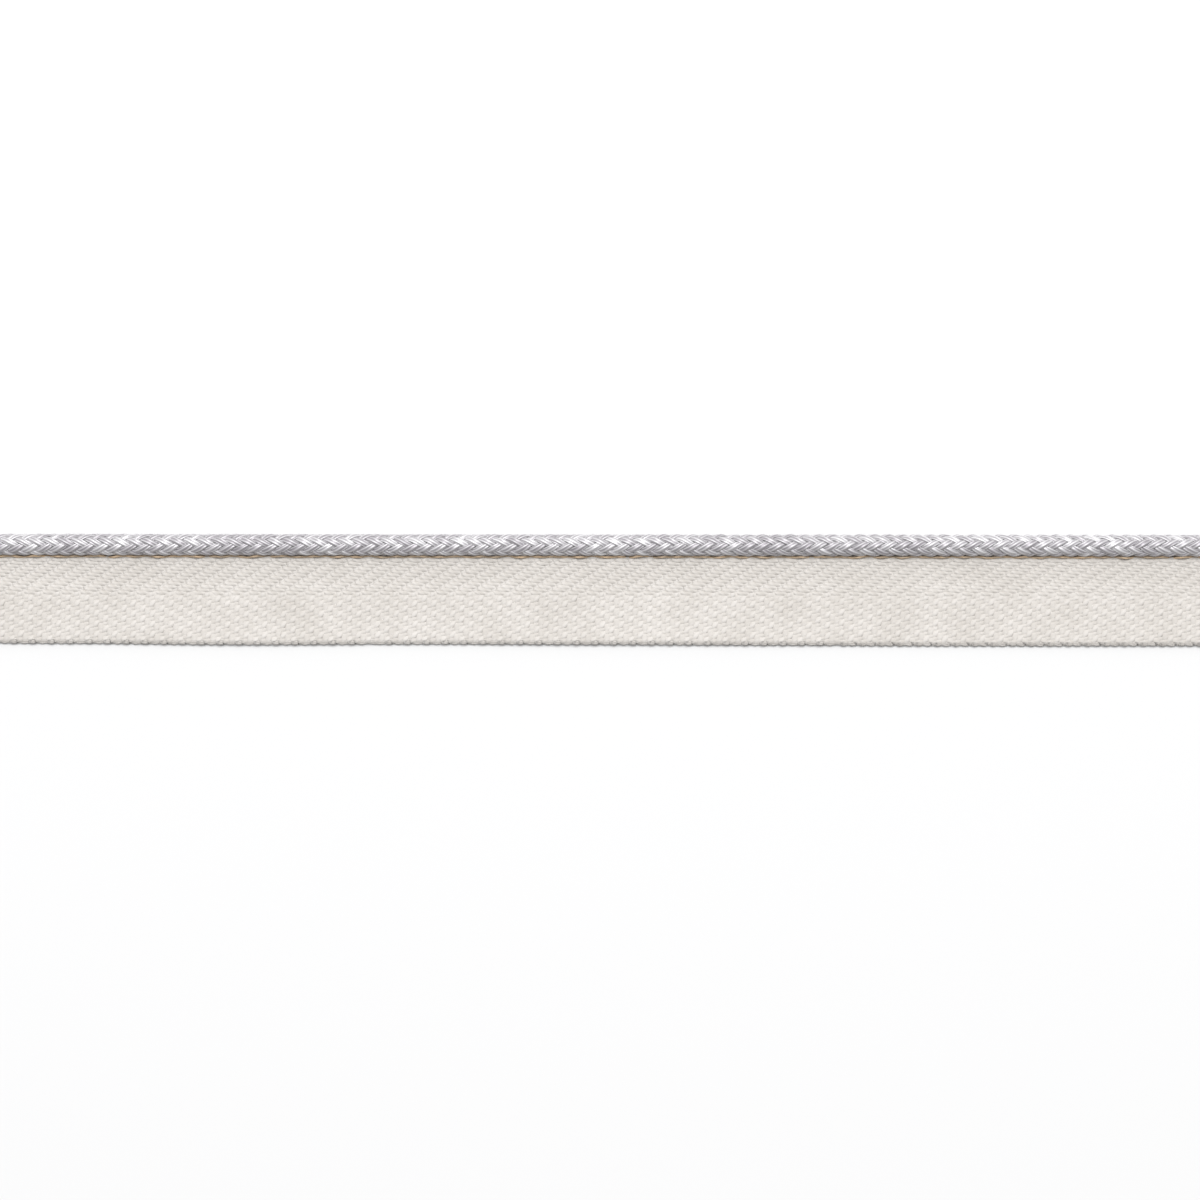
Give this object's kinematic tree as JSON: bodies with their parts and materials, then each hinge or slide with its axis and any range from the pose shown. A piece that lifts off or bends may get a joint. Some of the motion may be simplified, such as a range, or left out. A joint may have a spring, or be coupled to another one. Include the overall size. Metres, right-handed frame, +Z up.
{
  "type": "cut length of piping trim",
  "caption": "Straight cut length of piping trim, lying flat: a round braided cord, sewn by its side to the edge of a flat herringbone woven tape, which is its sewing flange.",
  "frame": {"origin": "middle of the footprint, on the surface that the cord and the tape lie on", "axes": "+X along the trim, +Y across it towards the cord, +Z up from the surface"},
  "size_m": [0.2, 0.0164, 0.0032],
  "materials": {
    "cord_yarn": "glossy pale grey yarn, round braid",
    "tape_cotton": "matt off-white cotton, herringbone weave"
  },
  "bodies": {
    "root": {"cord": "cord_yarn", "tape": "tape_cotton"}
  },
  "joints": []
}
